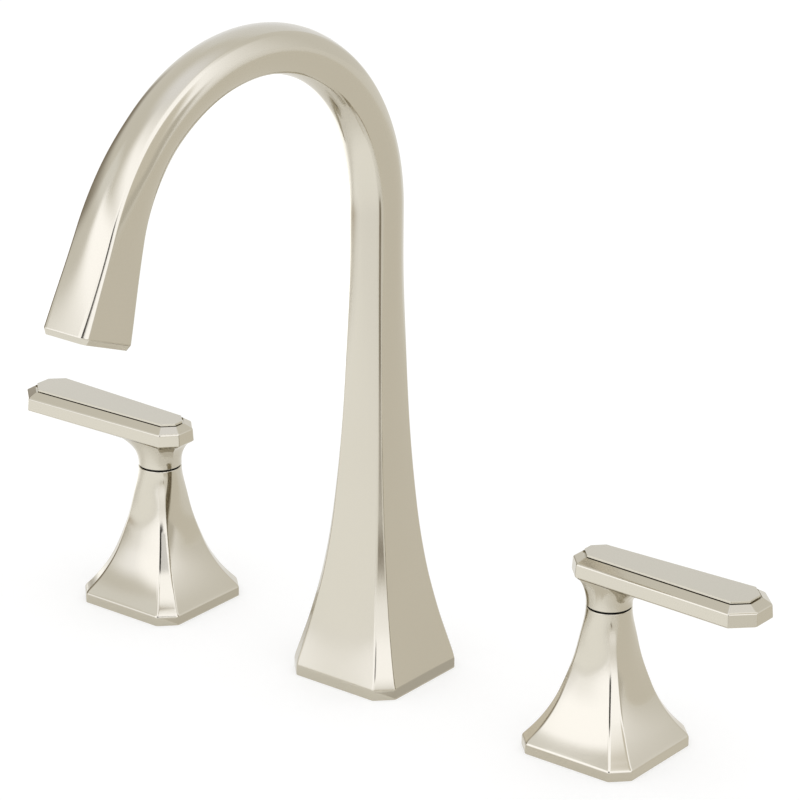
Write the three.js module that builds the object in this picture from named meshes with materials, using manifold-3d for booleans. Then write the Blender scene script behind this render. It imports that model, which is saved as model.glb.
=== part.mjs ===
// Widespread bathroom faucet: a gooseneck spout and two lever handles on one deck.
// Millimetres, +Z up. The origin is the centre of the spout's foot on the deck's top face.
// The user stands at -Y, the hot handle is at -X and the cold handle at +X.

import * as THREE from "three";
import { mergeVertices } from "three/addons/utils/BufferGeometryUtils.js";
import Module from "manifold-3d";

const wasm = await Module();
wasm.setup();

// Layout
const handleSpread = 203.2;
const deckThickness = 30;

// Fits shared by all pieces
const seatGap = 0.3;
const overrun = 2;

// Foot, the same chamfered square under all three units
const footHalf = 23.2;
const footCorner = 5.8;
const footBand = 3.6;
const footLip = 1.6;
const rebateDepth = 2.2;
const gasketWidth = 3.6;

// Spout path: a straight riser, one bend and a straight leg
const riserHeight = 174.3;
const archRadius = 71;
const archTurn = THREE.MathUtils.degToRad(159);
const legLength = 34;

// Spout sections: between the foot and the outlet the faces are crowned, with fine creases between
const tubeHalf = 7;
const tubeCorner = 0.8;
const tubeCrown = 1.75;
const footFlareHeight = 160;
const outletFlareLength = 72;
const outletHalfWidth = 9.65;
const outletHalfDepth = 12.8;
const outletCorner = 1.9;
const outletBevelHeight = 2;
const outletBevelInset = 1;
const spoutWall = 2.5;
const spoutCavityHeight = 27;

// Spout water way, shank and outlet insert
const waterwayRadius = 5.5;
const spoutShankRadius = 9.8;
const spoutShankBore = 5;
const spoutShankRise = 21;
const spoutBossWall = 2.4;
const sealHeight = 2.2;
const aeratorDepth = 12;
const aeratorRadius = 7.9;
const aeratorWall = 1.1;
const aeratorLip = 1.2;
const aeratorRecess = 0.8;
const aeratorGasketHeight = 1.5;
const aeratorScreenHeight = 6;

// Escutcheon
const neckHeight = 52.9;
const neckRadius = 8.05;
const neckCreaseAngle = THREE.MathUtils.degToRad(40);
const neckBore = 6.9;
const neckBoreDepth = 14;
const escutcheonWall = 2;

// Joint between escutcheon and lever, filled by the glide ring
const jointGap = 1.2;
const glideSkirtHeight = 6;
const glideRingInset = 0.5;

// Lever, given by its reach from the handle's axis, its half widths at both ends and its layers
const leverHubReach = 12.9;
const leverTipReach = 62.3;
const leverHubHalf = 9.1;
const leverTipHalf = 11.8;
const leverHubCorner = 5.2;
const leverTipCorner = 7.1;
const hubHeight = 9.5;
const bladeDepth = 5.5;
const bladeBevelRise = 2;
const bladeBottomBevel = 0.8;
const tableRise = 0.9;
const tableHubReach = 9.65;
const tableTipReach = 58.5;
const tableHubHalf = 5.7;
const tableTipHalf = 8;
const tableHubCorner = 3.8;
const tableTipCorner = 4.8;
const tableDraft = 0.25;
const flareHubReach = 12.1;
const flareTipReach = 20.5;
const flareHalf = 8.9;
const flareCorner = 4.8;
const flareCollar = 0.7;
const flareBend = 1.6;
const hubBore = 5.5;
const hubRoof = 4.2;

// Drive from the lever to the ceramic discs
const adapterWall = 1.4;
const stemRadius = 4;
const stemTopRadius = 3.5;
const stemFootRadius = 6.3;
const stemFootHeight = 3;
const runningGap = 0.3;
const setScrewRadius = 2;
const setScrewLength = 2.4;
const setScrewRise = 3;
const setScrewSocket = 1;
const setScrewSocketDepth = 1.3;

// Valve body and cartridge
const valveShankRadius = 13.6;
const valveTopRadius = 11;
const valveTopHeight = 9.5;
const cartridgeRadius = 7.6;
const cartridgeWall = 0.8;
const cartridgeFlangeRadius = 10.6;
const cartridgeFlangeHeight = 1.5;
const cartridgeRoof = 3;
const cartridgeLength = 17.8;
const cartridgeWindow = 3.4;
const discHeight = 2.5;
const discPortRadius = 1.5;
const discPortOffset = 3.6;
const sealRingHeight = 2.6;
const sealRingHole = 3.4;
const inletRadius = 3;
const outletPassageRadius = 2.5;
const outletPassageOffset = 9.8;
const sideOutletRadius = 6.2;
const sideOutletBore = 3.4;
const sideOutletReach = 28;
const sideOutletDrop = 56;
const nippleRadius = 10.3;
const nippleLength = 18;
const valveShankDepth = 66;

// Bonnet with its guide tube
const bonnetAcrossFlats = 25;
const bonnetTurn = THREE.MathUtils.degToRad(15);
const bonnetRoof = 1.8;
const bonnetConeHeight = 6.6;
const bonnetConeRadius = 11.6;
const guideTubeRadius = 5.6;

// Clamps above and below the deck
const deckFlangeRadius = 17;
const deckFlangeHeight = 3.2;
const rubberWasherHeight = 3;
const steelWasherHeight = 1.5;
const valveWasherRadius = 23.5;
const spoutWasherRadius = 20;
const nutHeight = 9;
const valveNutAcrossFlats = 36;
const spoutNutAcrossFlats = 28;
const nutCollarHeight = 2;
const nutCollarWidth = 1.5;

// Tee under the spout
const teeRadius = 12.6;
const teeSocketDepth = 13;
const teeDrop = 51;
const teeBodyLength = 34;
const teeArmDrop = 23;

// How finely the curved faces are cut
const roundSides = 20;
const boreSides = 12;
const faceSteps = 4;
const archSteps = 22;
const filletSteps = 5;
const threadSides = 24;

// Foot to tube: shares of the flare's height, then of the half width, the corner and the crown
const footFlareShares = [
  [0.0225, 1, 0.92, 0],
  [0.081, 0.838, 0.72, 0.09],
  [0.131, 0.708, 0.61, 0.15],
  [0.181, 0.596, 0.5, 0.19],
  [0.231, 0.49, 0.42, 0.22],
  [0.281, 0.415, 0.35, 0.245],
  [0.331, 0.344, 0.29, 0.265],
  [0.431, 0.245, 0.16, 0.31],
  [0.531, 0.162, 0.08, 0.38],
  [0.631, 0.107, 0.04, 0.47],
  [0.781, 0.052, 0.01, 0.72],
  [1, 0, 0, 1],
];

// Tube to outlet: shares of the flare's length, then of the width, the depth, the corner and the crown
const outletFlareShares = [
  [0, 0, 0, 0, 1],
  [0.16, 0.1, 0.03, 0, 0.93],
  [0.28, 0.21, 0.07, 0, 0.78],
  [0.4, 0.34, 0.13, 0.05, 0.58],
  [0.51, 0.47, 0.22, 0.13, 0.4],
  [0.63, 0.6, 0.37, 0.24, 0.24],
  [0.74, 0.72, 0.52, 0.38, 0.12],
  [0.86, 0.86, 0.74, 0.62, 0.04],
  [0.97, 0.97, 0.97, 0.95, 0],
];

// Foot to neck of the escutcheon: shares of the neck's height, half width, corner and crown
const escutcheonShares = [
  [0.07, 1, 0.92, 0],
  [0.151, 0.795, 0.74, 0.1],
  [0.245, 0.61, 0.56, 0.2],
  [0.358, 0.445, 0.4, 0.31],
  [0.49, 0.305, 0.26, 0.43],
  [0.64, 0.175, 0.13, 0.58],
  [0.81, 0.075, 0.05, 0.8],
  [1, 0, 0, 1],
];

// A closed geometry with shared corners and no slivers at the axis
function closed(geometry) {
  geometry.deleteAttribute("normal");
  geometry.deleteAttribute("uv");
  const merged = mergeVertices(geometry);
  const corners = merged.index.array;
  const kept = [];
  for (let i = 0; i < corners.length; i += 3) {
    const [a, b, c] = [corners[i], corners[i + 1], corners[i + 2]];
    if (a !== b && b !== c && c !== a) kept.push(a, b, c);
  }
  merged.setIndex(kept);
  return merged;
}

function toSolid(geometry) {
  const source = closed(geometry);
  return new wasm.Manifold(
    new wasm.Mesh({
      numProp: 3,
      vertProperties: new Float32Array(source.attributes.position.array),
      triVerts: new Uint32Array(source.index.array),
    }),
  );
}

function toGeometry(solid) {
  const mesh = solid.getMesh();
  const geometry = new THREE.BufferGeometry();
  geometry.setAttribute("position", new THREE.BufferAttribute(mesh.vertProperties, 3));
  geometry.setIndex(new THREE.BufferAttribute(mesh.triVerts, 1));
  return geometry;
}

// A closed body through rings of equal point counts, each end closed by a fan round its centre
function loft(rings) {
  const count = rings[0].length;
  const ends = [rings[0], rings[rings.length - 1]];
  const centres = ends.map((ring) => {
    const sum = ring.reduce((total, point) => total.add(point), new THREE.Vector3());
    return sum.divideScalar(count);
  });
  const points = [...rings.flat(), ...centres];
  const firstCentre = points.length - 2;
  const lastCentre = points.length - 1;
  const lastRing = (rings.length - 1) * count;
  const faces = [];
  for (let i = 0; i < count; i += 1) {
    const next = (i + 1) % count;
    for (let ring = 0; ring < rings.length - 1; ring += 1) {
      const low = ring * count;
      const high = low + count;
      faces.push(low + i, low + next, high + next, low + i, high + next, high + i);
    }
    faces.push(firstCentre, next, i);
    faces.push(lastCentre, lastRing + i, lastRing + next);
  }
  const geometry = new THREE.BufferGeometry().setFromPoints(points);
  geometry.setIndex(faces);
  return geometry;
}

// A body turned round Z: its profile runs anticlockwise in [radius, height] and closes on itself
function turned(profile, sides = roundSides) {
  const outline = [...profile, profile[0]].map(([radius, height]) => new THREE.Vector2(radius, height));
  return new THREE.LatheGeometry(outline, sides).rotateX(Math.PI / 2);
}

function rod(radius, low, high, sides = roundSides) {
  return turned([[0, low], [radius, low], [radius, high], [0, high]], sides);
}

function ring(inner, outer, low, high, sides = roundSides) {
  return turned([[inner, low], [outer, low], [outer, high], [inner, high]], sides);
}

// A rod along X between two places, at a height
function crossRod(radius, from, to, height, sides = boreSides) {
  const length = Math.abs(to - from);
  const body = new THREE.CylinderGeometry(radius, radius, length, sides);
  return body.rotateZ(Math.PI / 2).translate((from + to) / 2, 0, height);
}

function hexagon(acrossFlats, low, high) {
  const radius = acrossFlats / 2 / Math.cos(Math.PI / 6);
  return new THREE.CylinderGeometry(radius, radius, high - low, 6)
    .rotateX(Math.PI / 2)
    .translate(0, 0, (low + high) / 2);
}

// The chamfered square that crowns out to a circle, as points [across, deep] in anticlockwise order.
// halfWidth and halfDepth reach to the creases' corners, and each face's middle stands a crown prouder.
function sectionPoints({ halfWidth, halfDepth, corner, crown }) {
  const wide = halfWidth - corner;
  const deep = halfDepth - corner;
  const faces = [
    (t) => [halfWidth + crown * (1 - t * t), deep * t],
    (t) => [-wide * t, halfDepth + crown * (1 - t * t)],
    (t) => [-halfWidth - crown * (1 - t * t), -deep * t],
    (t) => [wide * t, -halfDepth - crown * (1 - t * t)],
  ];
  const points = [];
  for (const face of faces) {
    for (let step = 0; step <= faceSteps; step += 1) {
      points.push(face((2 * step) / faceSteps - 1));
    }
  }
  return points;
}

// The section's sizes where its points lie on the neck's circle
function roundSection(radius) {
  const half = radius * Math.cos(neckCreaseAngle);
  return {
    halfWidth: half,
    halfDepth: half,
    corner: half - radius * Math.sin(neckCreaseAngle),
    crown: radius - half,
  };
}

function smoothTable(rows) {
  const places = rows.map((row) => row[0]);
  const width = rows[0].length - 1;
  const curve = new THREE.CubicInterpolant(places, rows.flatMap((row) => row.slice(1)), width);
  return (place) => Array.from(curve.evaluate(place));
}

function mix(from, to, share) {
  return from + (to - from) * share;
}

function flatRing(section, height) {
  return sectionPoints(section).map(([x, y]) => new THREE.Vector3(x, y, height));
}

const footSection = { halfWidth: footHalf, halfDepth: footHalf, corner: footCorner, crown: 0 };

function inset(section, amount) {
  return {
    ...section,
    halfWidth: section.halfWidth - amount,
    halfDepth: section.halfDepth - amount,
    corner: Math.max(section.corner - amount * (2 - Math.SQRT2), seatGap),
  };
}

// Flare from the foot to a round neck or tube, at a share of its height
function flareSection(table, round, share) {
  const [half, corner, crown] = table(share);
  return {
    halfWidth: mix(round.halfWidth, footHalf, half),
    halfDepth: mix(round.halfDepth, footHalf, half),
    corner: mix(round.corner, footCorner, corner),
    crown: round.crown * crown,
  };
}

// The rebate and its gasket under a foot: a square frame on a ledge
const rebateHalf = footHalf - footLip;
const ledgeHalf = rebateHalf - gasketWidth;

function footRebate() {
  const section = inset(footSection, footLip);
  return toSolid(loft([flatRing(section, -overrun), flatRing(section, rebateDepth)]));
}

function footGasket() {
  const outside = inset(footSection, footLip + seatGap);
  const inside = inset(footSection, footLip + gasketWidth - seatGap);
  const top = rebateDepth - seatGap;
  const slab = toSolid(loft([flatRing(outside, 0), flatRing(outside, top)]));
  const hole = toSolid(loft([flatRing(inside, -overrun), flatRing(inside, top + overrun)]));
  return toGeometry(slab.subtract(hole));
}

// The hollow inside a flared foot: no wider than the gasket's ledge, then one wall inside the outside
function flareHollow(sectionAt, wall, top, steps) {
  const rings = [];
  for (let step = 0; step <= steps; step += 1) {
    const height = mix(rebateDepth - seatGap, top, step / steps);
    const outside = sectionAt(height);
    const half = Math.min(ledgeHalf, outside.halfWidth - wall);
    rings.push(flatRing(inset(outside, outside.halfWidth - half), height));
  }
  return toSolid(loft(rings));
}

// Spout path: place, direction and section along its length
const tubeSection = {
  halfWidth: tubeHalf,
  halfDepth: tubeHalf,
  corner: tubeCorner,
  crown: tubeCrown,
};
const archLength = archRadius * archTurn;
const pathLength = riserHeight + archLength + legLength;
const outletFlareStart = pathLength - outletFlareLength;
const spoutFoot = smoothTable(footFlareShares);
const spoutOutlet = smoothTable(outletFlareShares);

// A frame on the path: its origin, the direction of flow and the way its outer face looks
function pathFrame(along) {
  const angle = THREE.MathUtils.clamp((along - riserHeight) / archRadius, 0, archTurn);
  const before = Math.min(along - riserHeight, 0);
  const after = Math.max(along - riserHeight - archLength, 0);
  const origin = new THREE.Vector3(
    0,
    archRadius * (Math.cos(angle) - 1),
    riserHeight + archRadius * Math.sin(angle),
  );
  const ahead = new THREE.Vector3(0, -Math.sin(angle), Math.cos(angle));
  origin.addScaledVector(ahead, before + after);
  const outward = new THREE.Vector3(0, Math.cos(angle), Math.sin(angle));
  return { origin, ahead, outward };
}

function spoutSection(along) {
  if (along < footFlareHeight) {
    return flareSection(spoutFoot, tubeSection, along / footFlareHeight);
  }
  const [wide, deep, corner, crown] = spoutOutlet(
    Math.max(along - outletFlareStart, 0) / outletFlareLength,
  );
  return {
    halfWidth: mix(tubeSection.halfWidth, outletHalfWidth, wide),
    halfDepth: mix(tubeSection.halfDepth, outletHalfDepth, deep),
    corner: mix(tubeSection.corner, outletCorner, corner),
    crown: tubeSection.crown * crown,
  };
}

function ringOnPath(points, along) {
  const { origin, outward } = pathFrame(along);
  return points.map(([across, deep]) =>
    new THREE.Vector3(across, 0, 0).addScaledVector(outward, deep).add(origin),
  );
}

function circlePoints(radius, sides = boreSides) {
  const points = [];
  for (let i = 0; i < sides; i += 1) {
    const angle = (2 * Math.PI * i) / sides;
    points.push([radius * Math.cos(angle), radius * Math.sin(angle)]);
  }
  return points;
}

// Places along the path between two lengths: few on the straights, even ones round the bend
function pathPlaces(from, to) {
  const places = [from];
  const bend = archLength / archSteps;
  for (let step = 0; step <= archSteps; step += 1) {
    const place = riserHeight + bend * step;
    if (place > from + bend / 2 && place < to - bend / 2) places.push(place);
  }
  places.push(to);
  return places;
}

function spoutOutside() {
  const rings = [flatRing(footSection, 0), flatRing(footSection, footBand)];
  for (const [share] of footFlareShares.slice(1, -1)) {
    const height = share * footFlareHeight;
    rings.push(flatRing(spoutSection(height), height));
  }
  const tubePlaces = pathPlaces(footFlareHeight, outletFlareStart);
  const flarePlaces = outletFlareShares.slice(1).map(
    ([share]) => outletFlareStart + share * outletFlareLength,
  );
  const bevelStart = pathLength - outletBevelHeight;
  const flared = flarePlaces.filter((place) => place < bevelStart);
  for (const place of [...tubePlaces, ...flared, bevelStart]) {
    rings.push(ringOnPath(sectionPoints(spoutSection(place)), place));
  }
  const mouth = inset(spoutSection(bevelStart), outletBevelInset);
  rings.push(ringOnPath(sectionPoints(mouth), pathLength));
  return toSolid(loft(rings));
}

const spoutShoulder = spoutShankRise + sealHeight + 2 * seatGap;

function spoutBody() {
  const bossRadius = spoutShankRadius + seatGap + spoutBossWall;
  const boss = toSolid(rod(bossRadius, -overrun, spoutCavityHeight + overrun));
  const hollow = flareHollow(spoutSection, spoutWall, spoutCavityHeight, faceSteps).subtract(boss);
  const socket = toSolid(rod(spoutShankRadius + seatGap, -overrun, spoutShoulder));
  const waterway = toSolid(
    loft(
      pathPlaces(spoutShoulder - seatGap, pathLength - aeratorDepth + seatGap).map((place) =>
        ringOnPath(circlePoints(waterwayRadius), place),
      ),
    ),
  );
  const mouth = toSolid(
    loft(
      [pathLength - aeratorDepth, pathLength + overrun].map((place) =>
        ringOnPath(circlePoints(aeratorRadius + seatGap, roundSides), place),
      ),
    ),
  );
  const rebateRing = footRebate().subtract(boss);
  let body = spoutOutside();
  for (const cut of [rebateRing, hollow, socket, waterway, mouth]) body = body.subtract(cut);
  return toGeometry(body);
}

// Escutcheon
const neckSection = roundSection(neckRadius);
const escutcheonFlare = smoothTable(escutcheonShares);

function escutcheonSection(height) {
  return flareSection(escutcheonFlare, neckSection, height / neckHeight);
}

function escutcheonBody() {
  const rings = [flatRing(footSection, 0), flatRing(footSection, footBand)];
  const places = escutcheonShares.map(([share]) => share);
  for (let i = 1; i < places.length; i += 1) {
    for (const share of [(places[i - 1] + places[i]) / 2, places[i]]) {
      rings.push(flatRing(escutcheonSection(share * neckHeight), share * neckHeight));
    }
  }
  const hollowTop = neckHeight - neckBoreDepth;
  const hollow = flareHollow(escutcheonSection, escutcheonWall, hollowTop, 2 * faceSteps);
  const bore = toSolid(rod(neckBore, hollowTop - escutcheonWall, neckHeight + overrun));
  return toGeometry(
    toSolid(loft(rings)).subtract(footRebate()).subtract(hollow).subtract(bore),
  );
}

// Lever outline in plan, pointing along +X, moved in by an amount, as eight corners at a height
function leverRing({ hubReach, tipReach, hubHalf, tipHalf, hubCorner, tipCorner }, amount, height) {
  const hub = -hubReach + amount;
  const tip = tipReach - amount;
  const halfAt = (x) => mix(hubHalf, tipHalf, (x + hubReach) / (hubReach + tipReach)) - amount;
  const hubLeg = hubCorner - amount / 2;
  const tipLeg = tipCorner - amount / 2;
  const side = [
    [tip, halfAt(tip) - tipLeg],
    [tip - tipLeg, halfAt(tip - tipLeg)],
    [hub + hubLeg, halfAt(hub + hubLeg)],
    [hub, halfAt(hub) - hubLeg],
  ];
  const mirrored = [...side].reverse().map(([x, y]) => [x, -y]);
  return [...side, ...mirrored].map(([x, y]) => new THREE.Vector3(x, y, height));
}

const leverPlan = {
  hubReach: leverHubReach,
  tipReach: leverTipReach,
  hubHalf: leverHubHalf,
  tipHalf: leverTipHalf,
  hubCorner: leverHubCorner,
  tipCorner: leverTipCorner,
};
const tablePlan = {
  hubReach: tableHubReach,
  tipReach: tableTipReach,
  hubHalf: tableHubHalf,
  tipHalf: tableTipHalf,
  hubCorner: tableHubCorner,
  tipCorner: tableTipCorner,
};
const collarBottom = neckHeight + jointGap;
const bladeBottom = collarBottom + hubHeight;
const bladeWidest = bladeBottom + bladeDepth;
const tableFoot = bladeWidest + bladeBevelRise;
const leverTop = tableFoot + tableRise;

function leverBlade() {
  return toSolid(
    loft([
      leverRing(leverPlan, bladeBottomBevel, bladeBottom),
      leverRing(leverPlan, 0, bladeBottom + bladeBottomBevel),
      leverRing(leverPlan, 0, bladeWidest),
      leverRing(tablePlan, 0, tableFoot),
      leverRing(tablePlan, tableDraft, leverTop),
    ]),
  );
}

// Hub: a short round collar that sweeps out, hollow, to a chamfered footprint under the blade
function leverHub() {
  const outline = [
    [flareTipReach, flareHalf - flareCorner],
    [flareTipReach - flareCorner, flareHalf],
    [-flareHubReach + flareCorner, flareHalf],
    [-flareHubReach, flareHalf - flareCorner],
  ];
  const corners = [...outline, ...[...outline].reverse().map(([x, y]) => [x, -y])];
  const footprint = [];
  corners.forEach(([x, y], i) => {
    const [nextX, nextY] = corners[(i + 1) % corners.length];
    for (let step = 0; step < faceSteps; step += 1) {
      footprint.push([mix(x, nextX, step / faceSteps), mix(y, nextY, step / faceSteps)]);
    }
  });
  const ringAt = (turn, sink) => {
    const out = 1 - Math.cos(turn) ** (2 / flareBend);
    const up = Math.sin(turn) ** (2 / flareBend);
    return footprint.map(([x, y]) => {
      const scale = mix(neckRadius / Math.hypot(x, y), 1, out);
      const height = mix(collarBottom + flareCollar, bladeBottom, up) + sink;
      return new THREE.Vector3(x * scale, y * scale, height);
    });
  };
  const collar = footprint.map(([x, y]) => {
    const scale = neckRadius / Math.hypot(x, y);
    return new THREE.Vector3(x * scale, y * scale, collarBottom);
  });
  const rings = [collar];
  for (let step = 0; step <= filletSteps; step += 1) {
    rings.push(ringAt((Math.PI / 2) * (step / filletSteps), 0));
  }
  rings.push(ringAt(Math.PI / 2, bladeBottomBevel));
  return toSolid(loft(rings));
}

const hubBoreTop = leverTop - hubRoof;
const screwHeight = collarBottom + setScrewRise;
const adapterRadius = hubBore - seatGap;
const screwSeat = adapterRadius + seatGap;

// The set screw's hole goes in from the back, which is +Y once the hot lever is turned round
function leverBody(back) {
  const bore = toSolid(rod(hubBore, collarBottom - overrun, hubBoreTop));
  const hole = toSolid(
    new THREE.CylinderGeometry(
      setScrewRadius + seatGap,
      setScrewRadius + seatGap,
      neckRadius + overrun,
      boreSides,
    ).translate(0, back * ((neckRadius + overrun) / 2), screwHeight),
  );
  return toGeometry(leverBlade().add(leverHub()).subtract(bore).subtract(hole));
}

function setScrew() {
  const body = toSolid(
    new THREE.CylinderGeometry(setScrewRadius, setScrewRadius, setScrewLength, boreSides),
  );
  const socket = toSolid(
    new THREE.CylinderGeometry(setScrewSocket, setScrewSocket, setScrewSocketDepth + overrun, 6)
      .translate(0, (setScrewLength + setScrewSocketDepth + overrun) / 2 - setScrewSocketDepth, 0),
  );
  return toGeometry(body.subtract(socket));
}

// Valve heights, all worked down or up from the deck's top face
const flangeTop = seatGap + deckFlangeHeight;
const valveSeat = valveTopHeight + seatGap + cartridgeFlangeHeight - cartridgeLength - seatGap;
const cartridgeTop = valveTopHeight + seatGap + cartridgeFlangeHeight;
const cartridgeBottom = cartridgeTop - cartridgeLength;
const sealTop = cartridgeBottom + sealRingHeight;
const lowerDiscBottom = sealTop + seatGap;
const upperDiscBottom = lowerDiscBottom + discHeight + seatGap;
const stemFootBottom = upperDiscBottom + discHeight + seatGap;
const discRadius = cartridgeRadius - cartridgeWall - seatGap;
const stemTop = hubBoreTop - 2 * seatGap - hubRoof / 2;
const bonnetBottom = flangeTop + seatGap;
const bonnetInside = valveTopRadius + seatGap;
const bonnetCeiling = cartridgeTop + seatGap;
const bonnetShoulder = bonnetCeiling + bonnetRoof;
const guideBore = stemRadius + runningGap;
const guideTop = collarBottom - seatGap;

// side is +1 for the cold handle and -1 for the hot one: the spout lies on the other side of each
function valveBody(side) {
  const inward = -side;
  const shankBottom = -valveShankDepth;
  const shank = toSolid(
    turned([
      [0, shankBottom],
      [valveShankRadius, shankBottom],
      [valveShankRadius, flangeTop],
      [valveTopRadius, flangeTop],
      [valveTopRadius, valveTopHeight],
      [0, valveTopHeight],
    ]),
  );
  const nipple = toSolid(rod(nippleRadius, shankBottom - nippleLength, shankBottom + overrun));
  const arm = toSolid(
    crossRod(sideOutletRadius, 0, inward * sideOutletReach, -sideOutletDrop, roundSides),
  );
  const chamber = toSolid(rod(cartridgeRadius + seatGap, valveSeat, valveTopHeight + overrun));
  const inlet = toSolid(
    rod(inletRadius, shankBottom - nippleLength - overrun, valveSeat + overrun, boreSides),
  );
  const passage = toSolid(
    rod(outletPassageRadius, -sideOutletDrop, valveSeat + cartridgeWindow, boreSides)
      .translate(inward * outletPassageOffset, 0, 0),
  );
  const outlet = toSolid(
    crossRod(
      sideOutletBore,
      inward * (outletPassageOffset - outletPassageRadius),
      inward * (sideOutletReach + overrun),
      -sideOutletDrop,
    ),
  );
  return toGeometry(
    shank.add(nipple).add(arm).subtract(chamber).subtract(inlet).subtract(passage).subtract(outlet),
  );
}

function cartridgeBody(side) {
  const shell = toSolid(
    turned([
      [discRadius + seatGap, cartridgeBottom],
      [cartridgeRadius, cartridgeBottom],
      [cartridgeRadius, valveTopHeight + seatGap],
      [cartridgeFlangeRadius, valveTopHeight + seatGap],
      [cartridgeFlangeRadius, cartridgeTop],
      [guideBore, cartridgeTop],
      [guideBore, cartridgeTop - cartridgeRoof],
      [discRadius + seatGap, cartridgeTop - cartridgeRoof],
    ]),
  );
  const window = toSolid(
    new THREE.BoxGeometry(cartridgeRadius, cartridgeWindow, cartridgeWindow).translate(
      -side * cartridgeRadius,
      0,
      valveSeat + cartridgeWindow,
    ),
  );
  return toGeometry(shell.subtract(window));
}

// A ceramic disc with two ports. The lower disc's lie along Y and the upper's along X when closed.
function ceramicDisc(bottom, alongX) {
  let disc = toSolid(rod(discRadius, bottom, bottom + discHeight));
  for (const way of [-1, 1]) {
    const offset = way * discPortOffset;
    const port = rod(discPortRadius, bottom - overrun, bottom + discHeight + overrun, boreSides);
    disc = disc.subtract(toSolid(port.translate(alongX ? offset : 0, alongX ? 0 : offset, 0)));
  }
  return toGeometry(disc);
}

function valveStem() {
  return turned([
    [0, stemFootBottom],
    [stemFootRadius, stemFootBottom],
    [stemFootRadius, stemFootBottom + stemFootHeight],
    [stemRadius, stemFootBottom + stemFootHeight],
    [stemRadius, guideTop],
    [stemTopRadius, guideTop],
    [stemTopRadius, stemTop],
    [0, stemTop],
  ]);
}

function bonnet() {
  const hex = toSolid(hexagon(bonnetAcrossFlats, bonnetBottom, bonnetShoulder).rotateZ(bonnetTurn));
  const tube = toSolid(
    turned([
      [0, bonnetShoulder - bonnetRoof],
      [bonnetConeRadius, bonnetShoulder - bonnetRoof],
      [bonnetConeRadius, bonnetShoulder],
      [guideTubeRadius, bonnetShoulder + bonnetConeHeight],
      [guideTubeRadius, guideTop],
      [0, guideTop],
    ]),
  );
  const inside = toSolid(rod(bonnetInside, bonnetBottom - overrun, bonnetCeiling));
  const bore = toSolid(rod(guideBore, bonnetBottom, guideTop + overrun));
  return toGeometry(hex.add(tube).subtract(inside).subtract(bore));
}

function glideRing() {
  const inner = guideTubeRadius + runningGap;
  const skirt = neckBore - runningGap;
  const flange = neckRadius - glideRingInset;
  const flangeBottom = neckHeight + seatGap;
  return turned([
    [inner, flangeBottom - glideSkirtHeight],
    [skirt, flangeBottom - glideSkirtHeight],
    [skirt, flangeBottom],
    [flange, flangeBottom],
    [flange, collarBottom - seatGap],
    [inner, collarBottom - seatGap],
  ]);
}

// Nut with a round collar on top that bears on the washer
function mountingNut(acrossFlats, shankRadius, top) {
  const bore = shankRadius + seatGap;
  const hex = toSolid(hexagon(acrossFlats, top - nutHeight, top - nutCollarHeight));
  const collar = toSolid(rod(acrossFlats / 2 + nutCollarWidth, top - nutCollarHeight - seatGap, top));
  const hole = toSolid(rod(bore, top - nutHeight - overrun, top + overrun, threadSides));
  return toGeometry(hex.add(collar).subtract(hole));
}

const washerTop = -deckThickness - seatGap;
const rubberBottom = washerTop - rubberWasherHeight;
const steelTop = rubberBottom - seatGap;
const steelBottom = steelTop - steelWasherHeight;
const nutTop = steelBottom - seatGap;

function spoutTee() {
  const top = -teeDrop;
  const bottom = top - teeBodyLength;
  const armHeight = top - teeArmDrop;
  const body = toSolid(rod(teeRadius, bottom, top));
  const arms = toSolid(
    crossRod(sideOutletRadius, -sideOutletReach, sideOutletReach, armHeight, roundSides),
  );
  const socket = toSolid(rod(spoutShankRadius + seatGap, top - teeSocketDepth, top + overrun));
  const well = toSolid(rod(spoutShankBore, armHeight, top, boreSides));
  const reach = sideOutletReach + overrun;
  const armBore = toSolid(crossRod(sideOutletBore, -reach, reach, armHeight));
  return toGeometry(body.add(arms).subtract(socket).subtract(well).subtract(armBore));
}

// Finishes
const nickel = { color: 0xcdc6b8, roughness: 0.08, metalness: 1 };
const brass = { color: 0xc2a25a, roughness: 0.35, metalness: 1 };
const steel = { color: 0xb4b6b8, roughness: 0.3, metalness: 1 };
const rubber = { color: 0x1c1c1d, roughness: 0.8, metalness: 0 };
const ceramic = { color: 0xf2efe8, roughness: 0.25, metalness: 0 };
const acetal = { color: 0x26262a, roughness: 0.45, metalness: 0 };
const clearPlastic = { color: 0xd8dad6, roughness: 0.4, metalness: 0 };

function piece(name, geometry, finish) {
  const mesh = new THREE.Mesh(closed(geometry), new THREE.MeshStandardMaterial(finish));
  mesh.name = name;
  return mesh;
}

const faucet = new THREE.Group();

// Spout with its clamp, its tee and its outlet insert
const spout = new THREE.Group();
faucet.add(spout);
const shankBottom = -teeDrop - teeSocketDepth + seatGap;
const spoutHole = spoutShankRadius + seatGap;
spout.add(
  piece("spout_body", spoutBody(), nickel),
  piece("spout_base_gasket", footGasket(), rubber),
  piece("spout_shank", ring(spoutShankBore, spoutShankRadius, shankBottom, spoutShankRise), brass),
  piece(
    "spout_o_ring",
    ring(
      waterwayRadius + seatGap,
      spoutShankRadius - seatGap,
      spoutShankRise + seatGap,
      spoutShankRise + seatGap + sealHeight,
    ),
    rubber,
  ),
  piece("spout_rubber_washer", ring(spoutHole, spoutWasherRadius, rubberBottom, washerTop), rubber),
  piece("spout_steel_washer", ring(spoutHole, spoutWasherRadius, steelBottom, steelTop), steel),
  piece("spout_mounting_nut", mountingNut(spoutNutAcrossFlats, spoutShankRadius, nutTop), brass),
  piece("spout_tee", spoutTee(), brass),
);

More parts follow.
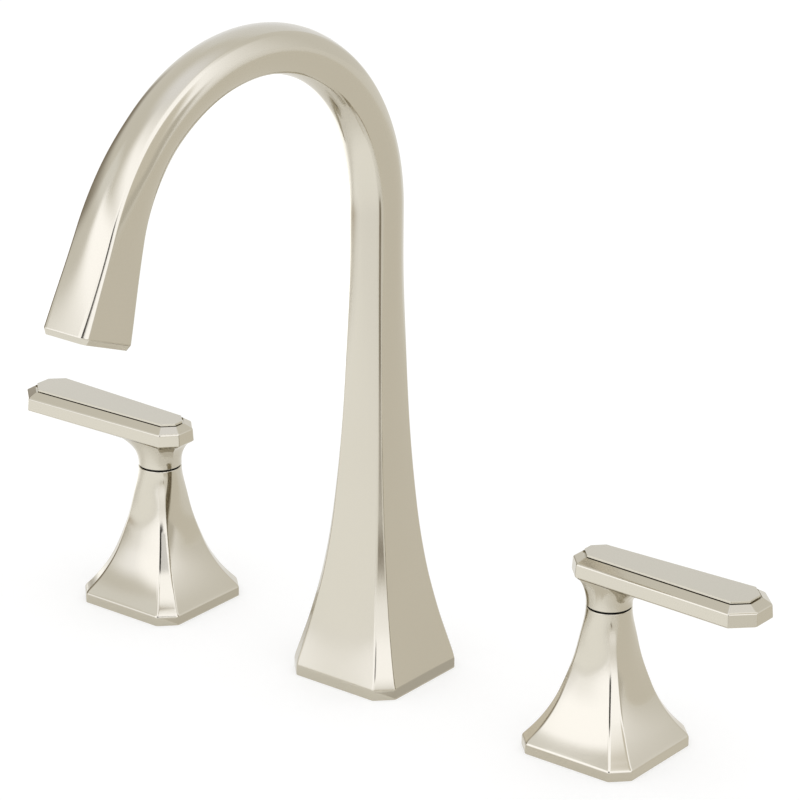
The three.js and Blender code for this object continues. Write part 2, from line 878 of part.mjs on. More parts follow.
// The outlet insert is built mouth down on Z and turned to the end of the spout's path
const outlet = new THREE.Group();
outlet.position.copy(pathFrame(pathLength).origin);
outlet.rotation.x = archTurn + Math.PI;
spout.add(outlet);
const insertCeiling = aeratorDepth - seatGap;
const sealBottom = insertCeiling - aeratorGasketHeight;
const housingTop = sealBottom - seatGap;
const screenRadius = aeratorRadius - aeratorWall - seatGap;
const screenBottom = aeratorRecess + aeratorLip + seatGap;
outlet.add(
  piece(
    "aerator_gasket",
    ring(waterwayRadius + seatGap, aeratorRadius - seatGap, sealBottom, insertCeiling),
    rubber,
  ),
  piece(
    "aerator_housing",
    turned([
      [screenRadius - aeratorLip, aeratorRecess],
      [aeratorRadius, aeratorRecess],
      [aeratorRadius, housingTop],
      [screenRadius + seatGap, housingTop],
      [screenRadius + seatGap, aeratorRecess + aeratorLip],
      [screenRadius - aeratorLip, aeratorRecess + aeratorLip],
    ]),
    clearPlastic,
  ),
  piece("aerator_screen", rod(screenRadius, screenBottom, screenBottom + aeratorScreenHeight), steel),
);

// Handles
for (const [name, side] of [["hot", -1], ["cold", 1]]) {
  const handle = new THREE.Group();
  handle.position.x = (side * handleSpread) / 2;
  faucet.add(handle);

  const lever = piece(`${name}_lever`, leverBody(side), nickel);
  lever.rotation.z = side > 0 ? 0 : Math.PI;
  const screw = piece(`${name}_set_screw`, setScrew(), steel);
  screw.position.set(0, screwSeat + setScrewLength / 2, screwHeight);
  const adapterBottom = collarBottom + seatGap;
  const valveHole = valveShankRadius + seatGap;
  handle.add(
    lever,
    screw,
    piece(
      `${name}_stem_adapter`,
      turned([
        [adapterRadius - adapterWall, adapterBottom],
        [adapterRadius, adapterBottom],
        [adapterRadius, hubBoreTop - seatGap],
        [0, hubBoreTop - seatGap],
        [0, stemTop + seatGap],
        [adapterRadius - adapterWall, stemTop + seatGap],
      ]),
      acetal,
    ),
    piece(`${name}_valve_stem`, valveStem(), brass),
    piece(`${name}_upper_disc`, ceramicDisc(upperDiscBottom, true), ceramic),
    piece(`${name}_lower_disc`, ceramicDisc(lowerDiscBottom, false), ceramic),
    piece(`${name}_cartridge_seal`, ring(sealRingHole, discRadius, cartridgeBottom, sealTop), rubber),
    piece(`${name}_cartridge_body`, cartridgeBody(side), brass),
    piece(`${name}_bonnet`, bonnet(), brass),
    piece(`${name}_glide_ring`, glideRing(), acetal),
    piece(`${name}_escutcheon`, escutcheonBody(), nickel),
    piece(`${name}_escutcheon_gasket`, footGasket(), rubber),
    piece(`${name}_deck_flange`, ring(valveHole, deckFlangeRadius, seatGap, flangeTop), brass),
    piece(`${name}_valve_body`, valveBody(side), brass),
    piece(`${name}_rubber_washer`, ring(valveHole, valveWasherRadius, rubberBottom, washerTop), rubber),
    piece(`${name}_steel_washer`, ring(valveHole, valveWasherRadius, steelBottom, steelTop), steel),
    piece(`${name}_mounting_nut`, mountingNut(valveNutAcrossFlats, valveShankRadius, nutTop), brass),
  );
}

export default faucet;
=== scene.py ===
import math

import bmesh
import bpy
import numpy as np
from mathutils import Matrix, Vector


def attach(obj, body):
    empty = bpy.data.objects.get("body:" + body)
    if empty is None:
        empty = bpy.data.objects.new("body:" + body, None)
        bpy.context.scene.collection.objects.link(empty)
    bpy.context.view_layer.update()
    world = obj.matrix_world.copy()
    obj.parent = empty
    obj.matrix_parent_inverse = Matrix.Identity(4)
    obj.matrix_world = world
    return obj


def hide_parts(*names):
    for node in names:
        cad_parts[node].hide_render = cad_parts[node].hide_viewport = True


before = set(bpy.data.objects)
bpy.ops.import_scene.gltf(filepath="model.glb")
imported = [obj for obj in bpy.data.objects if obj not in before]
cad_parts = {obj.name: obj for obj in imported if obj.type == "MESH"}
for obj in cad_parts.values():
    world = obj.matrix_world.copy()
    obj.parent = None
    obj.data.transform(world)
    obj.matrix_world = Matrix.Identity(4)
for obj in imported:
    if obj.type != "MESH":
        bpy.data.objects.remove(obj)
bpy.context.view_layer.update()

scene = bpy.context.scene
scene.view_settings.view_transform = "Standard"

# Camera
# It stands in front of the faucet and to its right, a little above it, with a long lens. The middle
# of the picture is a point on the deck behind the spout, so the three feet step down to the right.
turn, rise, roll = math.radians(37.626), math.radians(21.214), math.radians(0.464)
camera_distance = 1.640163
camera_target = Vector((-0.1558, 0.2160, 0.0))
camera_lens = 173.28

back = Vector((math.sin(turn) * math.cos(rise), -math.cos(turn) * math.cos(rise), math.sin(rise)))
level = Vector((math.cos(turn), math.sin(turn), 0.0))
upward = back.cross(level)
right = level * math.cos(roll) + upward * math.sin(roll)
above = upward * math.cos(roll) - level * math.sin(roll)
camera = bpy.data.objects.new("camera", bpy.data.cameras.new("camera"))
scene.collection.objects.link(camera)
camera.data.sensor_width = 36.0
camera.data.lens = camera_lens
camera.data.clip_start = 0.05
camera.data.clip_end = 30.0
camera.matrix_world = Matrix.Translation(camera_target + back * camera_distance) @ Matrix(
    (right, above, back)
).transposed().to_4x4()
scene.camera = camera


# Studio
# A white sweep in a wide white room. Curved soft boxes hang behind the camera and to its left, and
# dark and grey cards between them give polished metal its dark lines. None of it belongs to the
# faucet. The boards laid on the floor are painted light and painted shadow on it, as the metal sees
# the floor. The boxes, cards and boards are seen in the metal only, and the room alone lights the
# rest.
floor_half = 4.0
floor_colour = (0.6, 0.6, 0.6)
floor_glow = 0.45
card_centre = Vector((0.0, 0.0, 0.08))
card_steps = 24


class Field:
    """One socket of a node tree, so that sums and products of fields read as such."""

    def __init__(self, tree, socket=None):
        self.tree = tree
        self.socket = socket

    def node(self, kind, values=None, settings=None, take=0):
        """An output of a new node, whose sockets get values or links."""
        made = self.tree.nodes.new(kind)
        for name, value in (settings or {}).items():
            setattr(made, name, value)
        for name, value in (values or {}).items():
            if isinstance(value, Field):
                self.tree.links.new(value.socket, made.inputs[name])
            else:
                made.inputs[name].default_value = value
        return Field(self.tree, made.outputs[take])

    def maths(self, operation, first, second=0.0):
        return self.node("ShaderNodeMath", {0: first, 1: second}, {"operation": operation})

    def __add__(self, other):
        return self.maths("ADD", self, other)

    def __radd__(self, other):
        return self.maths("ADD", other, self)

    def __mul__(self, other):
        return self.maths("MULTIPLY", self, other)

    def __rmul__(self, other):
        return self.maths("MULTIPLY", other, self)


def new_tree(owner):
    owner.use_nodes = True
    owner.node_tree.nodes.clear()
    return Field(owner.node_tree)


def seen_directly(tree):
    """One for the rays of the eye, of mirrors and of glass, nought for the rays of the light."""
    eye, mirror, through = (
        tree.node("ShaderNodeLightPath", take=f"Is {ray} Ray")
        for ray in ("Camera", "Glossy", "Transmission")
    )
    return tree.maths("MAXIMUM", eye, tree.maths("MAXIMUM", mirror, through))


def surface_from(owner, shader, kind="ShaderNodeOutputMaterial"):
    output = shader.tree.nodes.new(kind)
    shader.tree.links.new(shader.socket, output.inputs["Surface"])
    return owner


world = bpy.data.worlds.new("studio")
scene.world = world
room = new_tree(world)
light = room.node("ShaderNodeBackground", {"Color": (1.0, 1.0, 1.0, 1.0), "Strength": 1.0})
surface_from(world, light, "ShaderNodeOutputWorld")


def new_object(name, mesh):
    made = bpy.data.objects.new(name, mesh)
    scene.collection.objects.link(made)
    return made


floor_mesh = bpy.data.meshes.new("floor")
floor_corners = [(-1, -1), (1, -1), (1, 1), (-1, 1)]
floor_mesh.from_pydata(
    [(floor_half * x, floor_half * y, 0.0) for x, y in floor_corners], [], [(0, 1, 2, 3)]
)
floor = new_object("floor", floor_mesh)
sweep = bpy.data.materials.new("sweep")
paper = new_tree(sweep)
matt = paper.node("ShaderNodeBsdfDiffuse", {"Color": (*floor_colour, 1.0)})
glow = paper.node("ShaderNodeEmission", {"Strength": floor_glow})
shine = paper.node("ShaderNodeAddShader", {0: matt, 1: glow})
lifted = paper.node("ShaderNodeMixShader", {0: seen_directly(paper), 1: matt, 2: shine})
clear = paper.node("ShaderNodeBsdfTransparent")
underneath = paper.node("ShaderNodeNewGeometry", take="Backfacing")
top_only = paper.node("ShaderNodeMixShader", {0: underneath, 1: lifted, 2: clear})
floor.data.materials.append(surface_from(sweep, top_only))


def ease(share):
    share = min(max(share, 0.0), 1.0)
    return share * share * (3 - 2 * share)


def hung(distance):
    """Places on a sphere, by azimuth from the user's side anticlockwise and by elevation."""

    def place(azimuth, elevation):
        a, e = math.radians(azimuth), math.radians(elevation)
        way = Vector((math.sin(a) * math.cos(e), -math.cos(a) * math.cos(e), math.sin(e)))
        return card_centre + way * distance

    return place


def laid(height):
    """Places on a board that lies flat, by the way along the row and the way out to the user."""

    def place(across, out):
        return Vector((across, -out, height))

    return place


def fanned(height):
    """Places on a board that lies flat, by azimuth and by reach."""

    def place(azimuth, reach):
        a = math.radians(azimuth)
        return Vector((reach * math.sin(a), -reach * math.cos(a), height))

    return place


def studio_card(name, place, across, along, colour, strength, fades):
    """A card over two ranges of a placing, which fades out at its left, right, bottom and top."""
    points, shares, faces = [], [], []
    for v in np.linspace(*along, card_steps + 1):
        for u in np.linspace(*across, card_steps + 1):
            points.append(place(u, v))
            share = 1.0
            for edge, fade in zip((u - across[0], across[1] - u, v - along[0], along[1] - v), fades):
                share *= ease(edge / fade) if fade else 1.0
            shares.append(share)
    count = card_steps + 1
    for row in range(card_steps):
        for column in range(card_steps):
            corner = row * count + column
            faces.append((corner, corner + 1, corner + count + 1, corner + count))
    mesh = bpy.data.meshes.new(name)
    mesh.from_pydata(points, [], faces)
    mesh.attributes.new("share", "FLOAT", "POINT").data.foreach_set("value", shares)
    card = new_object(name, mesh)
    card.visible_camera = False
    card.visible_diffuse = False
    card.visible_shadow = False
    material = bpy.data.materials.new(name)
    tree = new_tree(material)
    share = tree.node("ShaderNodeAttribute", None, {"attribute_name": "share"}, "Fac")
    gone = tree.node("ShaderNodeBsdfTransparent")
    glowing = tree.node("ShaderNodeEmission", {"Color": (*colour, 1.0), "Strength": strength})
    mixed = tree.node("ShaderNodeMixShader", {0: share, 1: gone, 2: glowing})
    card.data.materials.append(surface_from(material, mixed))


cool = (0.97, 1.0, 1.12)
cream = (0.98, 1.0, 1.05)
warm = (1.0, 0.98, 0.94)
brown = (1.0, 0.88, 0.72)
for card in (
    ("top_box", hung(1.52), (-180, 180), (60, 90), cool, 1.32, (0, 0, 26, 0)),
    ("soft_box", hung(1.50), (-34, 150), (-10, 84), cool, 1.9, (34, 44, 20, 30)),
    ("low_box", hung(1.49), (-58, 4), (-9, 19), cool, 1.65, (16, 20, 12, 10)),
    ("front_fill", hung(1.485), (-64, -30), (22, 50), cream, 1.2, (10, 6, 8, 10)),
    ("side_box", hung(1.48), (-41.7, 14), (-10, 37), cool, 1.95, (4, 20, 18, 10)),
    ("right_flat", hung(1.47), (92, 124), (-12, 16), warm, 0.8, (6, 6, 4, 5)),
    ("left_flat", hung(1.46), (-119, -50), (-6, 34), brown, 0.34, (10, 16, 10, 18)),
    ("back_reflector", hung(1.46), (-178, -118), (6, 60), cream, 1.1, (14, 14, 10, 14)),
    ("camera_flag", hung(1.42), (8, 46), (6, 35), brown, 0.03, (6, 2, 4, 6)),
    ("outlet_flag", hung(0.65), (27, 41), (21, 34), brown, 0.08, (3, 3, 3, 3)),
    ("arch_card", hung(0.45), (62, 104), (12, 48), warm, 1.0, (10, 10, 8, 8)),
    # painted light: a glowing patch laid on the floor stands for light falling on it, seen only in
    # the metal
    ("wide_floor_light", laid(0.00005), (-1.7, 0.45), (0.0, 2.2), cream, 1.22, (0.6, 0.3, 0.22, 0.2)),
    ("light_pool", laid(0.0001), (-0.5, 0.24), (0.05, 0.7), cream, 1.38, (0.2, 0.14, 0.08, 0.55)),
    ("left_pool", laid(0.00015), (-0.7, -0.19), (-0.6, 0.05), cream, 1.8, (0.2, 0.06, 0.2, 0.1)),
    ("left_shade", laid(0.0002), (-1.3, -0.42), (-0.05, 0.5), brown, 0.66, (0.3, 0.16, 0.12, 0.15)),
    ("right_shade", laid(0.00025), (0.0, 1.2), (-1.2, 0.05), warm, 0.96, (0.05, 0.4, 0.4, 0.05)),
    ("spout_shadow", laid(0.0003), (0.0235, 0.055), (-0.04, 0.03), warm, 0.7, (0, 0.02, 0.01, 0.01)),
    ("hot_shadow", laid(0.0003), (-0.0781, -0.045), (-0.04, 0.03), warm, 0.82, (0, 0.02, 0.01, 0.01)),
    ("cold_shadow", laid(0.0003), (0.035, 0.1), (0.025, 0.1), warm, 0.92, (0.015, 0.015, 0.01, 0.02)),
    # painted light: a glowing patch laid on the floor far in front brightens it towards the horizon,
    # seen only in the metal
    ("far_floor_light", laid(0.00035), (-1.9, 0.6), (0.5, 2.4), cool, 1.75, (0.6, 0.4, 1.1, 0.2)),
    ("tripod_shadow", fanned(0.0004), (45, 60), (0.34, 0.8), brown, 0.32, (4, 4, 0.08, 0.1)),
):
    studio_card(*card)


# Spout
# One hollow brass casting, plated in polished nickel: a chamfered square foot that sweeps up into a
# slim neck, one bend of 159 degrees, and an outlet deeper than it is wide. The foot's fine edges are
# rounded by the polishing wheel.
foot_half = 0.0232
foot_corner = 0.0058
foot_band = 0.0036
foot_lip = 0.0016
rebate_depth = 0.0022
gasket_width = 0.0036
riser_height = 0.1743
arch_radius = 0.071
arch_turn = math.radians(159)
leg_length = 0.034
tube_half = 0.0070
tube_corner = 0.0008
tube_crown = 0.00175
foot_flare_height = 0.160
outlet_flare_length = 0.072
outlet_half_width = 0.00965
outlet_half_depth = 0.0128
outlet_corner = 0.0019
outlet_bevel_height = 0.002
outlet_bevel_inset = 0.001
spout_wall = 0.0025
spout_cavity_height = 0.027
spout_boss_radius = 0.0125
spout_socket_radius = 0.0101
spout_shoulder = 0.0238
waterway_radius = 0.0055
mouth_radius = 0.0082
mouth_depth = 0.012
edge_radius = 0.0006
sole_edge = 0.0002
band_edge = 0.0007
bevel_edge = 0.0003
mouth_edge = 0.0002
least_corner = 0.0003
arc_lead = 1.25
arc_share = 0.45
face_steps = 12
cavity_steps = 10
flare_step = 0.0025
bend_step = 0.002
waterway_step = 0.006
crease_angle = math.radians(30)


def curve_through(places, values, first_slope=None, last_slope=0.0):
    """A smooth curve through the values, with no kink in its slope or in its bend."""
    x, y = np.array(places, float), np.array(values, float)
    gaps = np.diff(x)
    slopes = np.diff(y) / gaps
    count = len(x)
    rows, sides = np.zeros((count, count)), np.zeros(count)
    rows[0, 0] = rows[-1, -1] = 1.0
    if first_slope is not None:
        rows[0, :2] = 2.0 * gaps[0], gaps[0]
        sides[0] = 6.0 * (slopes[0] - first_slope)
    if last_slope is not None:
        rows[-1, -2:] = gaps[-1], 2.0 * gaps[-1]
        sides[-1] = 6.0 * (last_slope - slopes[-1])
    for i in range(1, count - 1):
        rows[i, i - 1 : i + 2] = gaps[i - 1], 2.0 * (gaps[i - 1] + gaps[i]), gaps[i]
        sides[i] = 6.0 * (slopes[i] - slopes[i - 1])
    bends = np.linalg.solve(rows, sides)

    def at(place):
        i = int(np.clip(np.searchsorted(x, place) - 1, 0, count - 2))
        after = min(max(place, x[0]), x[-1]) - x[i]
        before = gaps[i] - after
        cubic = (bends[i] * before**3 + bends[i + 1] * after**3) / (6.0 * gaps[i])
        low = (y[i] / gaps[i] - bends[i] * gaps[i] / 6.0) * before
        high = (y[i + 1] / gaps[i] - bends[i + 1] * gaps[i] / 6.0) * after
        return cubic + low + high

    return at


def towards(points, others, reach):
    way = others - points
    span = np.maximum(np.linalg.norm(way, axis=-1, keepdims=True), 1e-9)
    return points + way * np.minimum(reach / span, arc_share)


def round_over(rows, reaches, steps=4):
    """Turns each row that has a reach into a small arc between its two neighbours."""
    made = []
    for i, row in enumerate(rows):
        reach = reaches.get(i, 0.0)
        if not reach:
            made.append(row)
            continue
        before, after = rows[i - 1], rows[(i + 1) % len(rows)]
        start, end = towards(row, before, reach), towards(row, after, reach)
        made.append(towards(row, before, arc_lead * reach))
        for step in range(steps + 1):
            t = step / steps
            made.append((1 - t) ** 2 * start + 2 * t * (1 - t) * row + t * t * end)
        made.append(towards(row, after, arc_lead * reach))
    return made


def crowned_square(half_width, half_depth, corner, crown, edge=edge_radius):
    """The chamfered square with crowned faces, as points [across, deep] in anticlockwise order."""
    wide = half_width - corner
    deep = half_depth - corner
    points = []
    reaches = {}
    strip = corner * math.sqrt(2)
    for side in range(4):
        for step in range(face_steps + 1):
            t = 2 * step / face_steps - 1
            out = crown * (1 - t * t)
            point = (
                (half_width + out, deep * t),
                (-wide * t, half_depth + out),
                (-half_width - out, -deep * t),
                (wide * t, -half_depth - out),
            )[side]
            if step in (0, face_steps):
                reaches[len(points)] = min(edge, 0.35 * strip)
            points.append(np.array(point))
        last = points[-1]
        following = (
            (wide, half_depth), (-half_width, deep), (-wide, -half_depth), (half_width, -deep),
        )[side]
        points.append((last + np.array(following)) / 2)
    return np.array(round_over(points, reaches))


def flat_ring(outline, height):
    return np.column_stack([outline, np.full(len(outline), height)])


def circle_like(outline, radius):
    """A circle with one point in the direction of each point of an outline."""
    return outline * (radius / np.linalg.norm(outline, axis=1, keepdims=True))


def mix(start, end, share):
    return start + (end - start) * share


def curves_through(places, first_slope=None, last_slope=0.0, **rows):
    """One such curve for each named row of values."""
    return {name: curve_through(places, row, first_slope, last_slope) for name, row in rows.items()}


spout_flare = curves_through(
    [0.0036, 0.013, 0.021, 0.029, 0.037, 0.045, 0.053, 0.069, 0.085, 0.101, 0.125, 0.160],
    half=[1, 0.832, 0.702, 0.591, 0.493, 0.413, 0.345, 0.241, 0.162, 0.106, 0.05, 0],
    corner=[0.94, 0.72, 0.6, 0.5, 0.42, 0.35, 0.285, 0.17, 0.09, 0.045, 0.012, 0],
    crown=[0, 0.09, 0.15, 0.19, 0.22, 0.245, 0.265, 0.31, 0.38, 0.47, 0.72, 1],
)
outlet_flare = curves_through(
    [0, 0.16, 0.28, 0.4, 0.51, 0.63, 0.74, 0.86, 1], 0.0, None,
    wide=[0, 0.1, 0.21, 0.34, 0.47, 0.6, 0.72, 0.86, 1],
    deep=[0, 0.03, 0.07, 0.13, 0.22, 0.36, 0.53, 0.74, 1],
    corner=[0, 0, 0.01, 0.05, 0.13, 0.24, 0.39, 0.62, 1],
    crown=[1, 0.93, 0.78, 0.58, 0.4, 0.24, 0.12, 0.04, 0],
)
arch_length = arch_radius * arch_turn
path_length = riser_height + arch_length + leg_length
outlet_flare_start = path_length - outlet_flare_length


def path_frame(along):
    """The spout's middle line at a length: its place, its direction and the way outwards."""
    angle = min(max((along - riser_height) / arch_radius, 0.0), arch_turn)
    straight = min(along - riser_height, 0.0) + max(along - riser_height - arch_length, 0.0)
    ahead = np.array([0.0, -math.sin(angle), math.cos(angle)])
    outward = np.array([0.0, math.cos(angle), math.sin(angle)])
    bend = np.array([0.0, arch_radius * (math.cos(angle) - 1), arch_radius * math.sin(angle)])
    return np.array([0.0, 0.0, riser_height]) + bend + ahead * straight, ahead, outward


def ring_on_path(outline, along):
    place, _, outward = path_frame(along)
    return place + np.outer(outline[:, 0], [1.0, 0.0, 0.0]) + np.outer(outline[:, 1], outward)


def spout_sizes(along):
    if along < foot_flare_height:
        half = mix(tube_half, foot_half, spout_flare["half"](along))
        corner = mix(tube_corner, foot_corner, spout_flare["corner"](along))
        return half, half, corner, tube_crown * spout_flare["crown"](along)
    share = max(along - outlet_flare_start, 0.0) / outlet_flare_length
    return (
        mix(tube_half, outlet_half_width, outlet_flare["wide"](share)),
        mix(tube_half, outlet_half_depth, outlet_flare["deep"](share)),
        mix(tube_corner, outlet_corner, outlet_flare["corner"](share)),
        tube_crown * outlet_flare["crown"](share),
    )


def smaller(sizes, amount):
    half_width, half_depth, corner, crown = sizes
    less = max(corner - amount * (2 - math.sqrt(2)), least_corner)
    return half_width - amount, half_depth - amount, less, crown


def skin(name, rings, looped=True):
    """A closed body through rings of equal counts. Looped, the last ring joins the first one, and
    otherwise both ends close on their middles."""
    count = len(rings[0])
    points = [tuple(point) for ring in rings for point in ring]
    faces = []
    for k in range(len(rings) if looped else len(rings) - 1):
        low, high = k * count, ((k + 1) % len(rings)) * count
        for i in range(count):
            j = (i + 1) % count
            faces.append((low + i, low + j, high + j, high + i))
    if not looped:
        for ring, start in ((rings[0], 0), (rings[-1], (len(rings) - 1) * count)):
            middle = len(points)
            points.append(tuple(np.mean(ring, axis=0)))
            for i in range(count):
                faces.append((middle, start + (i + 1) % count, start + i))
    mesh = bpy.data.meshes.new(name)
    mesh.from_pydata(points, [], faces)
    return mesh


def dress(name, mesh, slot, node, body="deck_fixed"):
    """Shades a mesh smooth between its creases and puts it in its CAD node's place."""
    shape = bmesh.new()
    shape.from_mesh(mesh)
    bmesh.ops.remove_doubles(shape, verts=shape.verts, dist=1e-7)
    bmesh.ops.recalc_face_normals(shape, faces=shape.faces)
    for face in shape.faces:
        face.smooth = True
    for edge in shape.edges:
        edge.smooth = len(edge.link_faces) == 2 and edge.calc_face_angle() < crease_angle
    shape.to_mesh(mesh)
    shape.free()
    made = new_object(name, mesh)
    made.data.materials.clear()
    made.data.materials.append(finishes[slot])
    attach(made, body)
    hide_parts(node)


def grain(tree, size, detail=2.0, stretch=(1.0, 1.0, 1.0)):
    """Noise from 0 to 1 whose lumps are about the given size in metres."""
    own = tree.node("ShaderNodeTexCoord", take="Object")
    spot = tree.node("ShaderNodeMapping", {"Vector": own, "Scale": stretch})
    return tree.node("ShaderNodeTexNoise", {"Vector": spot, "Scale": 1.0 / size, "Detail": detail})


finishes = {}


def finish(slot, clouds, dark, light, roughness, swing, grains, bumps, height, strength, **others):
    """A slot's finish: two colours that cloud over each other, a roughness that swings over some
    grains, and bumps with a height in metres. The shader's other sockets get plain values."""
    material = bpy.data.materials.new(slot)
    tree = new_tree(material)
    for sizes in grains:
        swing = swing * grain(tree, *sizes)
    colours = {0: grain(tree, *clouds), 6: (*dark, 1.0), 7: (*light, 1.0)}
    relief = {"Strength": strength, "Distance": height, "Height": grain(tree, *bumps)}
    values = {
        "Base Color": tree.node("ShaderNodeMix", colours, {"data_type": "RGBA"}, 2),
        "Roughness": roughness + swing,
        "Normal": tree.node("ShaderNodeBump", relief),
        **others,
    }
    finishes[slot] = surface_from(material, tree.node("ShaderNodeBsdfPrincipled", values))
    return slot


nickel = finish(
    "polished_nickel", clouds=(0.06,), dark=(0.505, 0.468, 0.378), light=(0.530, 0.492, 0.402),
    roughness=0.11, swing=0.04, grains=((0.004, 3.0), (0.002, 2.0, (1.0, 1.0, 0.04))),
    bumps=(0.012, 1.0), height=0.0002, strength=0.02, Metallic=1.0,
)


def places_between(start, end, step):
    count = max(int(round((end - start) / step)), 1)
    return [mix(start, end, i / count) for i in range(count + 1)]


def foot_rings(sizes_at, wall, cavity_top, steps):
    """The inside of a foot, from its cavity's top down to its lip."""
    ledge = foot_half - foot_lip - gasket_width
    rings = []
    step = (cavity_top - rebate_depth) / steps
    for height in reversed(places_between(rebate_depth, cavity_top, step)):
        sizes = sizes_at(height)
        half = min(ledge, sizes[0] - wall)
        rings.append(flat_ring(crowned_square(*smaller(sizes, sizes[0] - half)), height))
    foot = (foot_half, foot_half, foot_corner, 0.0)
    rebate = crowned_square(*smaller(foot, foot_lip))
    rings.append(flat_ring(rebate, rebate_depth))
    rings.append(flat_ring(rebate, 0.0))
    return rings


foot_outline = crowned_square(foot_half, foot_half, foot_corner, 0.0)
spout_rings = [flat_ring(foot_outline, 0.0), flat_ring(foot_outline, foot_band)]
for place in places_between(foot_band, foot_flare_height, flare_step)[1:-1]:
    spout_rings.append(flat_ring(crowned_square(*spout_sizes(place)), place))
bevel_start = path_length - outlet_bevel_height
bend_places = places_between(foot_flare_height, outlet_flare_start, bend_step)
for place in bend_places[:-1] + places_between(outlet_flare_start, bevel_start, flare_step):
    spout_rings.append(ring_on_path(crowned_square(*spout_sizes(place)), place))
bevel_ring = len(spout_rings) - 1
mouth_outline = crowned_square(*smaller(spout_sizes(bevel_start), outlet_bevel_inset))
spout_rings.append(ring_on_path(mouth_outline, path_length))
mouth_end = path_length - mouth_depth
for place in (path_length, mouth_end):
    spout_rings.append(ring_on_path(circle_like(foot_outline, mouth_radius), place))
for place in reversed(places_between(spout_shoulder, mouth_end, waterway_step)):
    spout_rings.append(ring_on_path(circle_like(foot_outline, waterway_radius), place))
for radius, height in (
    (spout_socket_radius, spout_shoulder),
    (spout_socket_radius, 0.0),
    (spout_boss_radius, 0.0),
    (spout_boss_radius, spout_cavity_height),
):
    spout_rings.append(flat_ring(circle_like(foot_outline, radius), height))
spout_rings += foot_rings(spout_sizes, spout_wall, spout_cavity_height, cavity_steps)
polished_edges = {
    0: sole_edge, 1: band_edge, bevel_ring: bevel_edge, bevel_ring + 1: mouth_edge,
    bevel_ring + 2: mouth_edge,
}
casting = skin("spout_casting", round_over(spout_rings, polished_edges))
dress("spout_casting", casting, nickel, "spout_body")

# Escutcheons
# Two trumpet shaped covers, pressed and turned from brass and plated like the spout. Each hides the
# valve below it, stands on the same foot and ends in a round neck with a polished rim.
handle_offset = 0.1016
handles = (("hot", -1.0), ("cold", 1.0))
neck_height = 0.0529
neck_radius = 0.00805
neck_crease = math.radians(40)
neck_bore = 0.0069
neck_bore_depth = 0.014
rim_edge = 0.0003
bore_edge = 0.0001
escutcheon_wall = 0.002
trumpet_step = 0.0012
hollow_steps = 14
neck_half = neck_radius * math.cos(neck_crease)
neck_corner = neck_half - neck_radius * math.sin(neck_crease)
trumpet = curves_through(
    [0.0036, 0.008, 0.013, 0.019, 0.026, 0.034, 0.043, neck_height],
    half=[1, 0.795, 0.61, 0.443, 0.303, 0.172, 0.073, 0],
    corner=[0.94, 0.75, 0.57, 0.41, 0.26, 0.13, 0.04, 0],
    crown=[0, 0.1, 0.2, 0.31, 0.43, 0.58, 0.8, 1],
)


def escutcheon_sizes(height):
    half = mix(neck_half, foot_half, trumpet["half"](height))
    corner = mix(neck_corner, foot_corner, trumpet["corner"](height))
    return half, half, corner, (neck_radius - neck_half) * trumpet["crown"](height)


hollow_top = neck_height - neck_bore_depth - escutcheon_wall
trumpet_rings = [flat_ring(foot_outline, 0.0), flat_ring(foot_outline, foot_band)]
for place in places_between(foot_band, neck_height, trumpet_step)[1:]:
    trumpet_rings.append(flat_ring(crowned_square(*escutcheon_sizes(place)), place))
rim_ring = len(trumpet_rings) - 1
for height in (neck_height, hollow_top):
    trumpet_rings.append(flat_ring(circle_like(foot_outline, neck_bore), height))
trumpet_rings += foot_rings(escutcheon_sizes, escutcheon_wall, hollow_top, hollow_steps)
polished_edges = {0: sole_edge, 1: band_edge, rim_ring: rim_edge, rim_ring + 1: bore_edge}
trumpet_rings = round_over(trumpet_rings, polished_edges)


def along_row(mesh, way):
    """Moves a mesh from the middle of the row to a handle's axis: way -1 is the hot one's."""
    mesh.transform(Matrix.Translation((way * handle_offset, 0.0, 0.0)))
    return mesh


def dress_both(part, shape, slot, node, body="deck_fixed"):
    """Dresses a copy of a shape on the hot handle's axis, and one on the cold handle's."""
    for side, way in handles:
        own = along_row(shape.copy(), way)
        own.name = f"{side}_{part}"
        dress(own.name, own, slot, f"{side}_{node}", body.format(side))
    bpy.data.meshes.remove(shape)


dress_both("trumpet", skin("trumpet", trumpet_rings), nickel, "escutcheon")

# Levers
# One casting each, plated like the rest: a flat tapered blade with a raised table on top, chamfered
# at both ends, and a hub that flares into it out of a round collar. The hub is bored for the valve's
# stem and recessed round the valve's guide tube. A screw at its back holds it.
lever_plan = {
    "hub_reach": 0.0129, "tip_reach": 0.0623, "hub_half": 0.0091, "tip_half": 0.0118,
    "hub_corner": 0.0052, "tip_corner": 0.0071,
}
table_plan = {
    "hub_reach": 0.00965, "tip_reach": 0.0585, "hub_half": 0.0057, "tip_half": 0.008,
    "hub_corner": 0.0038, "tip_corner": 0.0048,
}
lever_bottom = 0.0636
lever_widest = 0.0691
lever_bottom_bevel = 0.0008
table_height = 0.0711
table_top = 0.072
table_middle = 0.002
table_draft = 0.0001
table_groove = 0.0005
lever_draft = 0.0003
flare_hub_reach = 0.0121
flare_tip_reach = 0.0205
flare_half = 0.0089
flare_corner = 0.0048
flare_bottom = 0.0548
flare_bend = 1.6
collar_bottom = 0.0536
hub_bore = 0.0055
hub_bore_top = 0.0678
guide_recess = 0.0061
guide_recess_top = 0.0541
screw_hole_radius = 0.0023
screw_height = 0.0571
hole_start = 0.0035
hole_end = 0.01205
table_corner_edge = 0.0003
lever_corner_edge = 0.0004
flare_corner_edge = 0.0006
plan_steps = 10
flare_steps = 12


